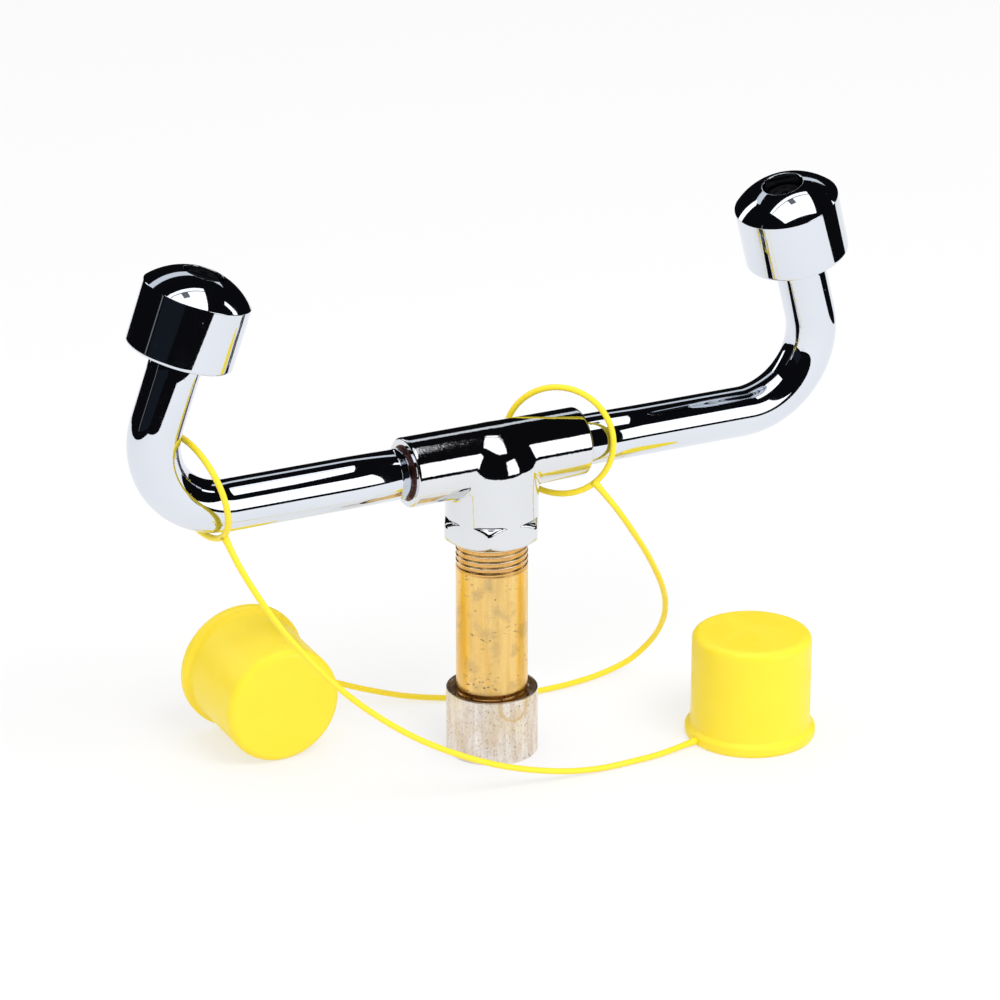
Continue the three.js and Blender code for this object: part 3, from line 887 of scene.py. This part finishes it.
ROOM = 4.0  # half the width of the dark room, and its height
FLOOR_HALF = 6.0
CARD_LIFT = 0.8 * MM  # of the dark cards that lie on the floor
SOFTBOX_HEIGHT = 1.1


def plain(name, colour, glow):
    """A dull surface that also gives off some light of its own."""
    material = bpy.data.materials.new(name)
    material.use_nodes = True
    shader = material.node_tree.nodes["Principled BSDF"]
    shader.inputs["Base Color"].default_value = rgb(*colour)
    shader.inputs["Roughness"].default_value = 0.9
    shader.inputs["Specular IOR Level"].default_value = 0.0
    shader.inputs["Emission Color"].default_value = rgb(*glow)
    shader.inputs["Emission Strength"].default_value = 1.0
    return material


def sheet_of(name, corners, material, reflected_only=True):
    """A flat sheet. Only mirror-like surfaces see it, unless reflected_only is False."""
    mesh = bpy.data.meshes.new(name)
    mesh.from_pydata(corners, [], [tuple(range(len(corners)))])
    mesh.materials.append(material)
    sheet = bpy.data.objects.new(name, mesh)
    bpy.context.scene.collection.objects.link(sheet)
    if reflected_only:
        sheet.visible_camera = False
        sheet.visible_diffuse = False
        sheet.visible_transmission = False
        sheet.visible_shadow = False
    return sheet


def floor_card(name, x, y, material):
    """Lies just above the floor, where polished metal sees the room beyond the white table."""
    ceiling_card(name, x, y, CARD_LIFT, material)


def ceiling_card(name, x, y, height, material):
    """A level card over a rectangle of the floor."""
    corners = [(x[i], y[j], height) for i, j in ((0, 0), (1, 0), (1, 1), (0, 1))]
    sheet_of(name, corners, material)


def wall_card(name, azimuths, heights, distance, material):
    """An upright card seen between two azimuths, from -Y towards +X in degrees."""
    angles = [math.radians(azimuth) for azimuth in azimuths]
    start, end = ((distance * math.sin(a), -distance * math.cos(a)) for a in angles)
    low, high = heights
    sheet_of(name, [(*start, low), (*end, low), (*end, high), (*start, high)], material)


def white_world():
    world = bpy.data.worlds.new("world")
    world.use_nodes = True
    world.node_tree.nodes["Background"].inputs["Color"].default_value = rgb(1, 1, 1)
    world.node_tree.nodes["Background"].inputs["Strength"].default_value = 1.0
    bpy.context.scene.world = world
    bpy.context.scene.view_settings.view_transform = "Standard"


def pale_floor():
    floor = plain("floor", (0.33, 0.33, 0.33), (0.60, 0.60, 0.60))
    corners = [(FLOOR_HALF * i, FLOOR_HALF * j, 0) for i, j in ((-1, -1), (1, -1), (1, 1), (-1, 1))]
    sheet_of("floor", corners, floor, reflected_only=False)


def dark_room():
    """Walls, ceiling and all of the floor that lies beyond the white table."""
    dark = plain("dark_room", (0, 0, 0), (0.004, 0.004, 0.005))
    floor_card("dark_front", (-ROOM, ROOM), (-ROOM, -0.34), dark)
    floor_card("dark_right", (0.46, ROOM), (-0.34, 0.12), dark)
    floor_card("dark_left", (-ROOM, -0.62), (-0.34, ROOM), dark)
    floor_card("dark_back", (-0.62, ROOM), (0.85, ROOM), dark)
    for azimuth in range(45, 360, 90):
        wall_card(f"dark_wall_{azimuth}", (azimuth, azimuth + 90), (0, ROOM), math.sqrt(2) * ROOM, dark)
    ceiling_card("dark_ceiling", (-ROOM, ROOM), (-ROOM, ROOM), ROOM, dark)


def softboxes():
    """The lights that polished metal shows."""
    black = (0, 0, 0)
    white = plain("softbox", black, (1.5, 1.5, 1.5))
    grey = plain("dim_light", black, (0.72, 0.76, 0.80))
    faint = plain("faint_light", black, (0.16, 0.17, 0.18))
    dusk = plain("dusk", black, (0.009, 0.012, 0.017))
    ceiling_card("overhead_front", (-0.72, 0.43), (-0.62, 0.03), SOFTBOX_HEIGHT, white)
    ceiling_card("overhead_back", (-0.72, 0.43), (0.05, 0.14), SOFTBOX_HEIGHT, white)
    ceiling_card("overhead_lamp", (-0.10, 0.04), (-0.13, 0.03), SOFTBOX_HEIGHT - 0.01, faint)
    ceiling_card("rear_ceiling", (-0.6, 1.4), (0.78, 1.2), SOFTBOX_HEIGHT, grey)
    wall_card("front_softbox", (13, 42), (-0.1, 0.85), 1.15, white)
    wall_card("right_strip", (80, 88), (0.55, 1.1), 1.2, white)
    wall_card("rear_left_strip", (-158, -146), (0.2, 1.1), 1.2, white)
    wall_card("left_strip", (-98, -95.5), (0.0, 0.9), 1.3, faint)
    wall_card("left_dusk", (-92, -50), (-0.05, 0.35), 1.3, dusk)


def key_light():
    """Soft light from above and in front, which polished metal doesn't show."""
    key = bpy.data.lights.new("key", "AREA")
    key.shape = "RECTANGLE"
    key.size = 0.7
    key.size_y = 0.6
    key.energy = 8
    lamp = bpy.data.objects.new("key", key)
    lamp.location = (0.1, -0.8, 1.05)
    lamp.rotation_mode = "QUATERNION"
    lamp.rotation_quaternion = (Vector((0, 0, 0.05)) - lamp.location).to_track_quat("-Z", "Y")
    lamp.visible_glossy = False
    bpy.context.scene.collection.objects.link(lamp)


def studio():
    """White surroundings for the eye. Bright metal sees a dark room with softboxes over a white table."""
    white_world()
    pale_floor()
    dark_room()
    softboxes()
    key_light()


# ---- the scene ----

make_camera()

finishes = {
    "chrome": chrome("chrome", (0.70, 0.735, 0.80), (0.76, 0.795, 0.86), 2.2e-6, 1.6 * MM, 5 * MM),
    "cast_chrome": chrome(
        "cast_chrome", (0.70, 0.715, 0.75), (0.77, 0.785, 0.81), 13e-6, 0.8 * MM, 1.8 * MM
    ),
    "brass": brass(),
    "nickel": nickel(),
    "braze": braze(),
    "steel": steel(),
    "rubber": moulding("rubber", (0.012, 0.012, 0.013), (0.03, 0.03, 0.03), 0.55, 0.8),
    "acetal": moulding("acetal", (0.70, 0.69, 0.64), (0.80, 0.79, 0.75), 0.35, 0.5),
    "black_plastic": moulding(
        "black_plastic", (0.004, 0.004, 0.005), (0.010, 0.010, 0.011), 0.55, 0.75, gloss=0.06
    ),
    "vinyl": vinyl(),
}

for name, tether in TETHERS.items():
    ring = strap_loop(name, tether, finishes["vinyl"])
    cup = dust_cap(name, tether, finishes["vinyl"])
    strap(name, tether, finishes["vinyl"])

inlet_coupling(finishes["nickel"])
supply_nipple(finishes["brass"])
tee_body(finishes["cast_chrome"])
for name, side in SIDES.items():
    braze_ring(name, side, finishes["braze"])
    arm_tube(name, side, finishes["chrome"])
    head_shell(name, finishes["chrome"])
    spray_nozzle(name, finishes["black_plastic"])
    inner_parts(name, finishes)

studio()
